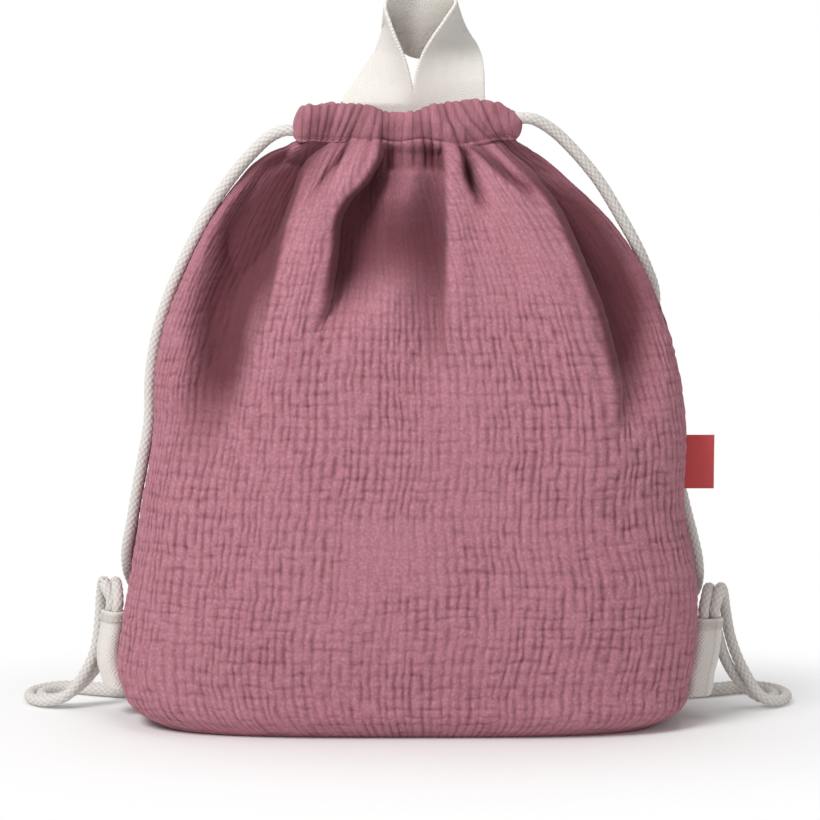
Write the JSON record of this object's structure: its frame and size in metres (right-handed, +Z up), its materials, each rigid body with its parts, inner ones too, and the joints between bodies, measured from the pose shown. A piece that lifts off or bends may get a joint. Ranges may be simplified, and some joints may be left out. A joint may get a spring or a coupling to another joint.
{
  "type": "drawstring backpack",
  "caption": "Soft drawstring backpack of crinkled cotton gauze, standing full, with a gathered collar, cord straps, corner tabs, a carry handle and a side label.",
  "frame": {"origin": "middle of the base, on the surface that the bag stands on", "axes": "+Z up, -Y to the front, +X to the right seen from the front"},
  "size_m": [0.3992, 0.1236, 0.3647],
  "materials": {
    "gauze": "matte crinkled double gauze, dusty rose",
    "cord": "matte braided cotton, off-white",
    "webbing": "matte herringbone cotton webbing, off-white",
    "label": "satin woven ribbon, red"
  },
  "bodies": {
    "bag": {"front_panel": "gauze", "back_panel": "gauze", "left_cord_turn": "cord", "right_cord_turn": "cord", "left_free_front_strand": "cord", "left_free_back_strand": "cord", "right_free_front_strand": "cord", "right_free_back_strand": "cord"},
    "front_collar": {"front_channel": "gauze", "left_cord_front_run": "cord", "right_cord_front_run": "cord"},
    "back_collar": {"back_channel": "gauze", "left_cord_back_run": "cord", "right_cord_back_run": "cord", "handle_left_end": "webbing", "handle_right_end": "webbing"},
    "handle": {"carry_handle": "webbing"},
    "label": {"side_label": "label"},
    "left_corner": {"left_tab": "webbing", "left_cord_inner_end": "cord", "left_cord_outer_end": "cord"},
    "right_corner": {"right_tab": "webbing", "right_cord_inner_end": "cord", "right_cord_outer_end": "cord"}
  },
  "joints": [
    {"name": "front_mouth", "type": "hinge", "parent": "bag", "child": "front_collar", "pos_m": [0, -0.0148, 0.29015], "axis": [1, 0, 0], "range_deg": [0, 18], "deforming": ["left_cord_turn", "right_cord_turn"]},
    {"name": "back_mouth", "type": "hinge", "parent": "bag", "child": "back_collar", "pos_m": [0, 0.0148, 0.29015], "axis": [1, 0, 0], "range_deg": [-18, 0]},
    {"name": "handle_fold", "type": "hinge", "parent": "back_collar", "child": "handle", "pos_m": [0, 0.0023, 0.3084], "axis": [1, 0, 0], "range_deg": [-12, 70]},
    {"name": "label_flap", "type": "hinge", "parent": "bag", "child": "label", "pos_m": [0.1392, 0, 0.1305], "axis": [0, 0, 1], "range_deg": [-70, 70]},
    {"name": "left_tab_swing", "type": "hinge", "parent": "bag", "child": "left_corner", "pos_m": [-0.1504, 0, 0.0345], "axis": [0, 0, 1], "range_deg": [-25, 25]},
    {"name": "right_tab_swing", "type": "hinge", "parent": "bag", "child": "right_corner", "pos_m": [0.1506, 0, 0.031], "axis": [0, 0, 1], "range_deg": [-25, 25]}
  ],
  "couplings": [
    {"joint": "back_mouth", "follows": "front_mouth", "ratio": -1}
  ]
}
